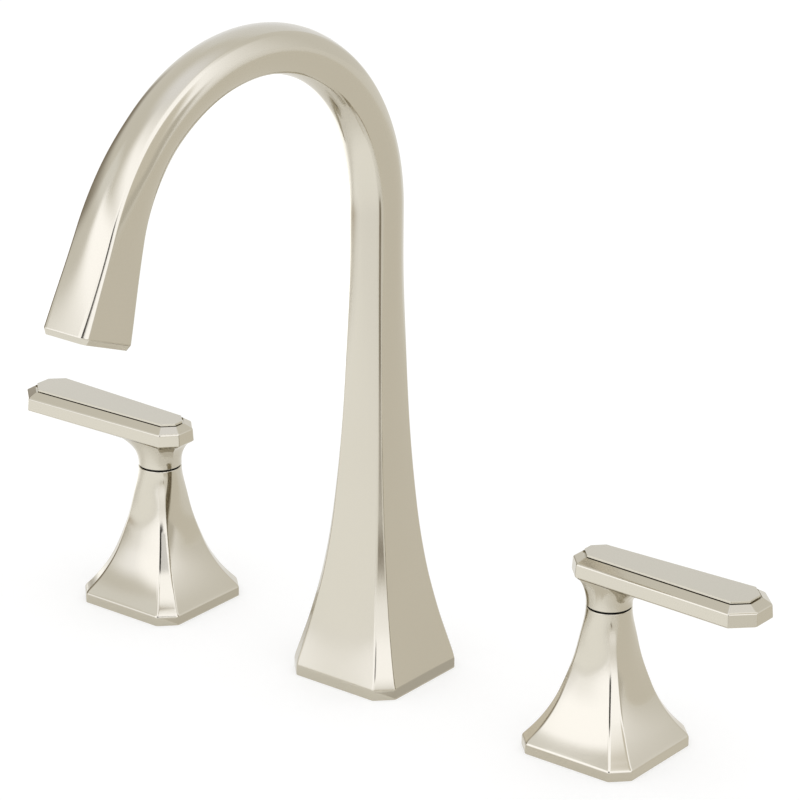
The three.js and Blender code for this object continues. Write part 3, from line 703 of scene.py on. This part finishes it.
def plan_outline(plan, amount, edge):
    """A lever's outline pointing along +X, moved in by an amount, with small arcs at its corners."""
    hub_reach, tip_reach, hub_half, tip_half, hub_corner, tip_corner = plan.values()
    hub, tip = -hub_reach + amount, tip_reach - amount
    hub_leg, tip_leg = hub_corner - amount / 2, tip_corner - amount / 2

    def half_at(x):
        return mix(hub_half, tip_half, (x + hub_reach) / (hub_reach + tip_reach)) - amount

    side = [
        (tip, half_at(tip) - tip_leg),
        (tip - tip_leg, half_at(tip - tip_leg)),
        (hub + hub_leg, half_at(hub + hub_leg)),
        (hub, half_at(hub) - hub_leg),
    ]
    return outline_through(side, edge)


def outline_through(side, edge):
    """An outline from the corners of its one side: the other side mirrors them."""
    corners = side + [(x, -y) for x, y in reversed(side)]
    points = []
    reaches = {}
    for i, corner in enumerate(corners):
        start, end = np.array(corner), np.array(corners[(i + 1) % len(corners)])
        reaches[len(points)] = edge
        points += [mix(start, end, step / plan_steps) for step in range(plan_steps)]
    return np.array(round_over(points, reaches))


flare_side = [
    (flare_tip_reach, flare_half - flare_corner),
    (flare_tip_reach - flare_corner, flare_half),
    (-flare_hub_reach + flare_corner, flare_half),
    (-flare_hub_reach, flare_half - flare_corner),
]
footprint = outline_through(flare_side, flare_corner_edge)
lever_rings = []
polished_edges = {}


def add_ring(outline, height, edge=0.0):
    """The lever's next ring, and how far its edge is rounded."""
    polished_edges[len(lever_rings)] = edge
    lever_rings.append(flat_ring(outline, height))


groove_floor = table_height - table_groove
for inset, height, edge in (
    (table_middle, table_top, 0.0),
    (table_draft, table_top, 0.00012),
    (0.0, groove_floor, 0.0),
    (-table_groove, groove_floor, 0.0),
    (-table_groove, table_height, 0.00008),
):
    add_ring(plan_outline(table_plan, inset, table_corner_edge), height, edge)
for inset, height, edge in (
    (0.0, lever_widest, 0.0006),
    (-lever_draft, lever_bottom + lever_bottom_bevel, 0.0003),
    (lever_bottom_bevel, lever_bottom, 0.0003),
):
    add_ring(plan_outline(lever_plan, inset, lever_corner_edge), height, edge)
collar = circle_like(footprint, neck_radius)
for step in range(flare_steps + 1):
    angle = math.pi / 2 * (1 - step / flare_steps)
    out = 1 - abs(math.cos(angle)) ** (2 / flare_bend)
    up = math.sin(angle) ** (2 / flare_bend)
    edge = 0.0 if step else 0.0003
    add_ring(mix(collar, footprint, out), mix(flare_bottom, lever_bottom, up), edge)
add_ring(collar, collar_bottom, 0.0002)
for radius, height in (
    (guide_recess, collar_bottom),
    (guide_recess, guide_recess_top),
    (hub_bore, guide_recess_top),
    (hub_bore, hub_bore_top),
    (hub_bore / 2, hub_bore_top),
):
    add_ring(circle_like(footprint, radius), height)
lever_rings = round_over(lever_rings, polished_edges)


def baked(blank):
    """The plain mesh that a blank's modifier makes. The blank goes."""
    graph = bpy.context.evaluated_depsgraph_get()
    made = bpy.data.meshes.new_from_object(blank.evaluated_get(graph))
    bpy.data.objects.remove(blank)
    return made


def cut(mesh, cutter):
    """The mesh less its cutter."""
    blank, tool = new_object("blank", mesh), new_object("tool", cutter)
    boolean = blank.modifiers.new("cut", "BOOLEAN")
    boolean.object = tool
    boolean.solver = "EXACT"
    made = baked(blank)
    bpy.data.objects.remove(tool)
    return made


towards_back = Matrix(((1, 0, 0), (0, 0, 1), (0, -1, 0))).to_4x4()
lathe_sides = 96
hole_sides = 48


def circle(radius, sides=lathe_sides):
    angles = [2 * math.pi * i / sides for i in range(sides)]
    return np.array([[math.cos(a), math.sin(a)] for a in angles]) * radius


for side, way in handles:
    turn_round = np.array([way, way, 1.0])
    blade = skin(f"{side}_blade", [ring * turn_round for ring in lever_rings], looped=False)
    hole_outline = circle(screw_hole_radius, hole_sides)
    hole_rings = [flat_ring(hole_outline, out) for out in (hole_start, hole_end)]
    hole = skin("screw_hole", hole_rings, looped=False)
    hole.transform(Matrix.Translation((0.0, 0.0, screw_height)) @ towards_back)
    for piece in (blade, hole):
        tidy = bmesh.new()
        tidy.from_mesh(piece)
        bmesh.ops.recalc_face_normals(tidy, faces=tidy.faces)
        tidy.to_mesh(piece)
        tidy.free()
    bored = along_row(cut(blade, hole), way)
    dress(f"{side}_blade", bored, nickel, f"{side}_lever", f"{side}_handle")

# Set screws
# A small steel screw at the back of each hub, with a hexagon socket, that pinches the adapter on the
# stem. It is turned from bar and sits below the hub's surface.
screw_radius = 0.002
screw_length = 0.0024
screw_socket_half = 0.00085
screw_socket_depth = 0.0013
screw_start = 0.0055
screw_point = 0.0002
screw_rim = 0.0003


def hexagon(half_flats, limit=None):
    """A hexagon as points on the rays of a circle, with its corners cut back to a limit."""
    reach = []
    for i in range(lathe_sides):
        turn_share = (2 * math.pi * i / lathe_sides) % (math.pi / 3) - math.pi / 6
        reach.append(half_flats / math.cos(turn_share))
    return circle(1.0) * np.minimum(reach, limit or max(reach))[:, None]


streaks = (0.0006, 2.0, (1.0, 1.0, 0.1))
steel = finish(
    "stainless_steel", clouds=(0.01,), dark=(0.50, 0.505, 0.51), light=(0.60, 0.605, 0.61),
    roughness=0.22, swing=0.16, grains=(streaks,), bumps=streaks, height=0.0002, strength=0.08,
    Metallic=1.0,
)
screw_rings = [
    flat_ring(circle(screw_radius - screw_point), 0.0),
    flat_ring(circle(screw_radius), screw_point),
    flat_ring(circle(screw_radius), screw_length - screw_rim),
    flat_ring(circle(screw_radius - screw_rim), screw_length),
    flat_ring(hexagon(screw_socket_half), screw_length),
    flat_ring(hexagon(screw_socket_half), screw_length - screw_socket_depth),
]
screw = skin("grub_screw", screw_rings, looped=False)
screw.transform(Matrix.Translation((0.0, screw_start, screw_height)) @ towards_back)
dress_both("grub_screw", screw, steel, "set_screw", "{}_handle")

# Glide rings
# Moulded acetal rings in the joint under each lever. A skirt holds them inside the escutcheon's
# neck, and only the thin black edge of the flange shows.
glide_bore = 0.0059
glide_skirt = 0.0066
glide_flange = 0.00755
glide_bottom = 0.0472
glide_flange_bottom = 0.0531
glide_top = 0.0535
glide_edge = 0.00012


def softened(profile, edge):
    corners = [np.array(corner) for corner in profile]
    return round_over(corners, {i: edge for i in range(len(corners))}, 2)


def turned(name, profile, edge=0.0002):
    """A body turned on a lathe: its profile runs in (radius, height) and closes on itself."""
    rows = softened(profile, edge)
    return skin(name, [flat_ring(circle(radius), height) for radius, height in rows])


acetal = finish(
    "black_acetal", clouds=(0.003,), dark=(0.012, 0.012, 0.013), light=(0.022, 0.022, 0.024),
    roughness=0.45, swing=0.15, grains=((0.0008,),), bumps=(0.0004,), height=0.0001, strength=0.1,
    **{"Specular IOR Level": 0.15},
)
glide_profile = [
    (glide_bore, glide_bottom), (glide_skirt, glide_bottom), (glide_skirt, glide_flange_bottom),
    (glide_flange, glide_flange_bottom), (glide_flange, glide_top), (glide_bore, glide_top),
]
dress_both("glide", turned("glide", glide_profile, glide_edge), acetal, "glide_ring")

# Gaskets and seals
# Moulded black rubber: a square frame in the rebate under each foot, a flat ring on top of the
# spout's shank, and the washers that press up on the deck from below.
gasket_corner = 0.00484
gasket_edge = 0.0003
rubber_edge = 0.0006
seal_edge = 0.0009
deck_thickness = 0.030
seat_gap = 0.0003
rubber_height = 0.003
spout_washer_radius = 0.020
valve_washer_radius = 0.0235
spout_shank_radius = 0.0098
spout_nut_half = 0.014
valve_shank_radius = 0.0136
valve_nut_half = 0.018
clamps = (
    ("spout", 0.0, spout_shank_radius, spout_washer_radius, spout_nut_half),
    ("hot", -1.0, valve_shank_radius, valve_washer_radius, valve_nut_half),
    ("cold", 1.0, valve_shank_radius, valve_washer_radius, valve_nut_half),
)
seal_low = 0.0213
seal_high = 0.0235
rubber = finish(
    "black_rubber", clouds=(0.008, 3.0), dark=(0.012, 0.012, 0.012), light=(0.032, 0.031, 0.030),
    roughness=0.62, swing=0.2, grains=((0.001,),), bumps=(0.0003,), height=0.0002, strength=0.25,
)


def flat_washer(inner, outer, low, high):
    return [(inner, low), (outer, low), (outer, high), (inner, high)]


gasket_half = foot_half - foot_lip - seat_gap
gasket_outer = (gasket_half, gasket_half, gasket_corner, 0.0)
gasket_profile = flat_washer(seat_gap, gasket_width - 2 * seat_gap, 0.0, rebate_depth - seat_gap)
gasket_rings = [
    flat_ring(crowned_square(*smaller(gasket_outer, inset)), height)
    for inset, height in reversed(gasket_profile)
]
gasket_rings = round_over(gasket_rings, {i: gasket_edge for i in range(4)}, 2)
gasket = skin("spout_foot_gasket", gasket_rings)
dress("spout_foot_gasket", gasket, rubber, "spout_base_gasket")
dress_both("foot_gasket", skin("foot_gasket", gasket_rings), rubber, "escutcheon_gasket")


def dress_washers(kind, low, high, edge, slot):
    """One washer round each of the three shanks, between two heights."""
    for unit, way, shank, reach, _ in clamps:
        name = f"{unit}_{kind}"
        washer = turned(name, flat_washer(shank + seat_gap, reach, low, high), edge)
        dress(name, along_row(washer, way), slot, f"{name}_washer")


rubber_top = -deck_thickness - seat_gap
rubber_low = rubber_top - rubber_height
dress_washers("rubber", rubber_low, rubber_top, rubber_edge, rubber)
seal_profile = flat_washer(
    waterway_radius + seat_gap, spout_shank_radius - seat_gap, seal_low, seal_high,
)
dress("spout_seal", turned("spout_seal", seal_profile, seal_edge), rubber, "spout_o_ring")

# Steel washers
# Stamped from stainless sheet and tumbled, so that their edges are round. They lie between the
# nuts and the rubber, and spread each nut's pull.
steel_height = 0.0015
steel_edge = 0.0004
steel_top = rubber_low - seat_gap
steel_low = steel_top - steel_height
dress_washers("steel", steel_low, steel_top, steel_edge, steel)

# Mounting nuts
# Brass hexagon nuts, turned with a round collar on top that bears on the steel washer. The corners
# of the hexagon are chamfered on the lathe at both ends.
nut_height = 0.009
nut_collar_height = 0.002
nut_collar_width = 0.0015
nut_chamfer = 0.0011
nut_corner_cut = 1.07
nut_collar_edge = 0.0002
nut_collar_bevel = 0.0003
nut_top = steel_low - seat_gap
tarnish = (0.014, 4.0)
turning = (0.0005, 2.0, (0.08, 0.08, 1.0))
brass = finish(
    "brass", clouds=tarnish, dark=(0.52, 0.37, 0.15), light=(0.68, 0.51, 0.25),
    roughness=0.24, swing=0.2, grains=(tarnish, turning), bumps=turning, height=0.0003,
    strength=0.12, Metallic=1.0,
)
for unit, way, shank, _, half in clamps:
    bore = shank + seat_gap
    low, neck = nut_top - nut_height, nut_top - nut_collar_height
    rows = [
        (circle(bore + nut_chamfer / 2), low),
        (hexagon(half, half - nut_chamfer / 3), low),
        (hexagon(half, half * nut_corner_cut), low + nut_chamfer / 2),
        (hexagon(half), low + nut_chamfer * 1.6),
        (hexagon(half), neck - nut_chamfer),
        (hexagon(half, half * nut_corner_cut), neck),
        (circle(half + nut_collar_width), neck + nut_collar_edge),
        (circle(half + nut_collar_width), nut_top - nut_collar_edge),
        (circle(half + nut_collar_width - nut_collar_bevel), nut_top),
        (circle(bore + nut_chamfer / 2), nut_top),
        (circle(bore), nut_top - nut_chamfer / 2),
        (circle(bore), low + nut_chamfer / 2),
    ]
    nut = along_row(skin(f"{unit}_nut", [flat_ring(*row) for row in rows]), way)
    dress(nut.name, nut, brass, f"{unit}_mounting_nut")

# Threaded shanks
# Brass tubes with a rolled thread. The spout's carries the water up through the deck, and its foot
# sits in the tee. The thread is a ridge that winds round a plain core.
thread_pitch = 0.0015
thread_ridge = 0.0005
thread_steps = 40
ridge_sides = 4
spout_shank_bore = 0.005
spout_shank_low = -0.0637
spout_shank_high = 0.021


def tree_with_inputs(name, **inputs):
    """A Geometry Nodes tree that works on a mesh, and its inputs by their names."""
    group = bpy.data.node_groups.new(name, "GeometryNodeTree")
    inputs = {"Geometry": "NodeSocketGeometry", **inputs}
    for label, kind in inputs.items():
        group.interface.new_socket(label, in_out="INPUT", socket_type=kind)
    group.interface.new_socket("Geometry", in_out="OUTPUT", socket_type="NodeSocketGeometry")
    outputs = group.nodes.new("NodeGroupInput").outputs
    return Field(group), {label: Field(group, outputs[label]) for label in inputs}


def grown(tree, core, **inputs):
    """The core's mesh after the tree has worked on it."""
    blank = new_object("blank", core)
    modifier = blank.modifiers.new("grown", "NODES")
    modifier.node_group = tree.tree
    for item in tree.tree.interface.items_tree:
        if item.in_out == "INPUT" and item.name in inputs:
            modifier[item.identifier] = inputs[item.name]
    made = baked(blank)
    made.name = core.name
    return made


def point(tree, **ways):
    """A point or a step, by its X, Y and Z."""
    return tree.node("ShaderNodeCombineXYZ", ways)


def rod(tree, curve, sides, radius):
    """A bar with closed ends that follows a curve."""
    profile = tree.node("GeometryNodeCurvePrimitiveCircle", {"Resolution": sides, "Radius": radius})
    values = {"Curve": curve, "Profile Curve": profile, "Fill Caps": True}
    return tree.node("GeometryNodeCurveToMesh", values)


number = "NodeSocketFloat"
thread_tree, given = tree_with_inputs(
    "thread", Radius=number, Ridge=number, Pitch=number, Height=number, Start=number,
    Finish="NodeSocketMaterial",
)
turns = thread_tree.maths("DIVIDE", given["Height"], given["Pitch"])
spiral = thread_tree.node(
    "GeometryNodeCurveSpiral",
    {"Resolution": thread_steps, "Rotations": turns, "Start Radius": given["Radius"],
     "End Radius": given["Radius"], "Height": given["Height"]},
)
ridge = rod(thread_tree, spiral, ridge_sides, given["Ridge"])
lift = point(thread_tree, Z=given["Start"])
ridge = thread_tree.node("GeometryNodeTransform", {"Geometry": ridge, "Translation": lift})


def close_tree(tree, finish_input, *parts):
    """Joins the parts, gives them their finish and leads them to the tree's output."""
    together = tree.node("GeometryNodeJoinGeometry")
    for part in parts:
        tree.tree.links.new(part.socket, together.socket.node.inputs[0])
    real = tree.node("GeometryNodeRealizeInstances", {"Geometry": together})
    dressed = tree.node("GeometryNodeSetMaterial", {"Geometry": real, "Material": finish_input})
    tree.tree.links.new(dressed.socket, tree.tree.nodes.new("NodeGroupOutput").inputs[0])


close_tree(thread_tree, given["Finish"], given["Geometry"], ridge)


def threaded(core, radius, low, high, pitch=thread_pitch, ridge=thread_ridge):
    """A thread between two heights, wound round a core that the part itself has been given."""
    return grown(
        thread_tree, core, Radius=radius - ridge, Ridge=ridge, Pitch=pitch,
        Height=high - low - 2 * ridge, Start=low + ridge, Finish=finishes[brass],
    )


shank_core = turned(
    "spout_pipe",
    [
        (spout_shank_bore, spout_shank_low), (spout_shank_radius - thread_ridge, spout_shank_low),
        (spout_shank_radius - thread_ridge, spout_shank_high), (spout_shank_bore, spout_shank_high),
    ],
)
pipe = threaded(shank_core, spout_shank_radius, spout_shank_low, spout_shank_high)
dress("spout_pipe", pipe, brass, "spout_shank")

# Supply tee
# A brass body screwed on the foot of the spout's shank. Its two arms take the hoses from the hot
# and the cold valve, and a short thread on each holds the hose's nut.
tee_radius = 0.0126
tee_low = -0.085
tee_top = -0.051
tee_socket = 0.0101
tee_socket_low = -0.064
tee_well = 0.005
tee_well_low = -0.074
arm_height = -0.074
arm_radius = 0.0062
arm_bore = 0.0034
arm_reach = 0.028
arm_thread = 0.010
arm_pitch = 0.001
arm_ridge = 0.0004
arm_start = 0.006
solid_edge = 0.0004


def turned_solid(name, profile):
    """A turned body that is whole on its axis at both ends of its profile."""
    corners = [np.array(corner) for corner in profile]
    rows = round_over(corners, {i: solid_edge for i in range(1, len(corners) - 1)}, 2)
    return skin(name, [flat_ring(circle(radius), height) for radius, height in rows], looped=False)


def joined(name, *meshes):
    """Several closed shapes as one mesh."""
    shape = bmesh.new()
    for mesh in meshes:
        shape.from_mesh(mesh)
    made = bpy.data.meshes.new(name)
    shape.to_mesh(made)
    shape.free()
    return made


def hose_arm(start, height, way):
    """A threaded arm that points along X, from its root to its mouth."""
    core = turned(
        "arm",
        [
            (arm_bore, start), (arm_radius - arm_ridge, start), (arm_radius - arm_ridge, arm_reach),
            (arm_bore, arm_reach),
        ],
    )
    arm = threaded(core, arm_radius, arm_reach - arm_thread, arm_reach, arm_pitch, arm_ridge)
    flip = Matrix(((0, 0, way), (0, 1, 0), (-way, 0, 0))).to_4x4()
    arm.transform(Matrix.Translation((0.0, 0.0, height)) @ flip)
    return arm


tee_body = turned_solid(
    "tee_body",
    [
        (tee_well / 2, tee_low), (tee_radius, tee_low), (tee_radius, tee_top), (tee_socket, tee_top),
        (tee_socket, tee_socket_low), (tee_well, tee_socket_low), (tee_well, tee_well_low),
        (tee_well / 2, tee_well_low),
    ],
)
arms = [hose_arm(arm_start, arm_height, way) for way in (1.0, -1.0)]
dress("tee", joined("tee", tee_body, *arms), brass, "spout_tee")

# Valve bodies
# A brass body hangs through the deck below each handle. A hose from the wall screws on its nipple
# below, and the arm at its side feeds the spout's tee.
valve_low = -0.084
nipple_radius = 0.0103
shank_low = -0.066
shank_high = 0.0035
collar_radius = 0.011
collar_high = 0.0095
chamber_radius = 0.0079
inlet_radius = 0.003
chamber_floor = -0.0068
valve_arm_height = -0.056
valve_core = [
    (inlet_radius, valve_low), (nipple_radius - thread_ridge, valve_low),
    (nipple_radius - thread_ridge, shank_low), (valve_shank_radius - thread_ridge, shank_low),
    (valve_shank_radius - thread_ridge, shank_high), (collar_radius, shank_high),
    (collar_radius, collar_high), (chamber_radius, collar_high), (chamber_radius, chamber_floor),
    (inlet_radius, chamber_floor),
]
for side, way in handles:
    core = turned(f"{side}_valve", valve_core)
    core = threaded(core, valve_shank_radius, shank_low, shank_high)
    core = threaded(core, nipple_radius, valve_low, shank_low)
    body = joined(f"{side}_valve", core, hose_arm(nipple_radius, valve_arm_height, -way))
    dress(f"{side}_valve", along_row(body, way), brass, f"{side}_valve_body")

# Deck flanges
# A round brass nut on top of each valve body that stops it from falling through the deck. Its rim is
# knurled so that fingers can turn it.
flange_bore = 0.0139
flange_radius = 0.017
flange_low = 0.0003
flange_top = 0.0035
flange_bevel = 0.0005
flange_bevel_height = 0.0004
knurl_depth = 0.00025
knurled = circle(flange_radius)
knurled[::2] *= 1 - knurl_depth / flange_radius
bevelled = circle(flange_radius - flange_bevel)
flange_rows = [
    (circle(flange_bore), flange_low), (bevelled, flange_low),
    (knurled, flange_low + flange_bevel_height), (knurled, flange_top - flange_bevel_height),
    (bevelled, flange_top), (circle(flange_bore), flange_top),
]
flange = skin("flange", [flat_ring(*row) for row in flange_rows])
dress_both("flange", flange, brass, "deck_flange")

# Cartridges
# The ceramic valve in each unit: two lapped discs with ports, a brass stem that turns the upper one,
# a brass body and bonnet round them, a rubber seal below and a broached sleeve in the lever's hub.
speckle = (0.0008, 3.0)
ceramic = finish(
    "ceramic", clouds=speckle, dark=(0.80, 0.79, 0.76), light=(0.90, 0.89, 0.87),
    roughness=0.12, swing=0.1, grains=((0.003,),), bumps=speckle, height=0.0001, strength=0.05,
)
for slot, parts in (
    (brass, ("valve_stem", "cartridge_body", "bonnet")),
    (ceramic, ("upper_disc", "lower_disc")),
    (rubber, ("cartridge_seal",)),
    (acetal, ("stem_adapter",)),
):
    for part in parts:
        for side, _ in handles:
            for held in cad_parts[f"{side}_{part}"].material_slots:
                held.material = finishes[slot]

# Aerator
# The insert in the spout's mouth: a rubber ring, a frosted plastic housing and a screen of fine
# steel wires crossed over each other, which breaks the water up into a soft stream.
insert_gasket = flat_washer(0.0058, 0.0076, 0.0102, 0.0117)
insert_gasket_edge = 0.0003
insert_housing = [
    (0.0053, 0.0008), (0.0079, 0.0008), (0.0079, 0.0099), (0.0068, 0.0099), (0.0068, 0.0020),
    (0.0053, 0.0020),
]
screen_radius = 0.0065
screen_low = 0.0023
screen_top = 0.0083
screen_ring = 0.0009
screen_edge = 0.0001
wire_radius = 0.00012
wire_count = 21
wire_sides = 6
haze = (0.002, 3.0)
plastic = finish(
    "frosted_plastic", clouds=haze, dark=(0.62, 0.64, 0.62), light=(0.74, 0.76, 0.74),
    roughness=0.4, swing=0.15, grains=(haze,), bumps=(0.0004,), height=0.0001, strength=0.15,
)
mouth_place, mouth_ahead, _ = path_frame(path_length)
into_spout = Vector(-mouth_ahead)
crosswise = Vector((1.0, 0.0, 0.0))
insert_turn = Matrix((crosswise, into_spout.cross(crosswise), into_spout)).transposed().to_4x4()
insert_place = Matrix.Translation(mouth_place) @ insert_turn

wire_tree, given = tree_with_inputs(
    "wires", Reach=number, Wire=number, Count="NodeSocketInt", Height=number,
    Finish="NodeSocketMaterial",
)
reach = given["Reach"]
less = reach * -1.0
wire_step = wire_tree.maths("DIVIDE", reach * 2.0, given["Count"] + 1.0)
first_wire = point(wire_tree, Y=less + wire_step, Z=given["Height"])
row = wire_tree.node(
    "GeometryNodeMeshLine",
    {"Count": given["Count"], "Start Location": first_wire, "Offset": point(wire_tree, Y=wire_step)},
)
wire_line = wire_tree.node(
    "GeometryNodeCurvePrimitiveLine",
    {"Start": point(wire_tree, X=less), "End": point(wire_tree, X=reach)},
)
wire = rod(wire_tree, wire_line, wire_sides, given["Wire"])
at_wire = wire_tree.node("GeometryNodeInputPosition")
out = wire_tree.node("ShaderNodeSeparateXYZ", {"Vector": at_wire}, take="Y")
share_out = wire_tree.maths("DIVIDE", out, reach)
chord = wire_tree.maths("SQRT", share_out * share_out * -1.0 + 1.0)
wires = wire_tree.node(
    "GeometryNodeInstanceOnPoints",
    {"Points": row, "Instance": wire, "Scale": point(wire_tree, X=chord, Y=1.0, Z=1.0)},
)
quarter_turn = wire_tree.node(
    "GeometryNodeTransform", {"Geometry": wires, "Rotation": (0.0, 0.0, math.pi / 2)},
)
above_wires = point(wire_tree, Z=given["Wire"])
crossing = wire_tree.node(
    "GeometryNodeTransform", {"Geometry": quarter_turn, "Translation": above_wires},
)
close_tree(wire_tree, given["Finish"], given["Geometry"], wires, crossing)

rim_profile = flat_washer(screen_radius - screen_ring, screen_radius, screen_low, screen_top)
screen = grown(
    wire_tree, turned("mouth_screen", rim_profile, screen_edge), Finish=finishes[steel],
    Reach=screen_radius - screen_ring / 2, Wire=wire_radius, Count=wire_count,
    Height=screen_low + 3 * wire_radius,
)
ring = turned("mouth_ring", insert_gasket, insert_gasket_edge)
for name, shape, slot, node in (
    ("mouth_ring", ring, rubber, "aerator_gasket"),
    ("mouth_housing", turned("mouth_housing", insert_housing), plastic, "aerator_housing"),
    ("mouth_screen", screen, steel, "aerator_screen"),
):
    shape.transform(insert_place)
    dress(name, shape, slot, node)
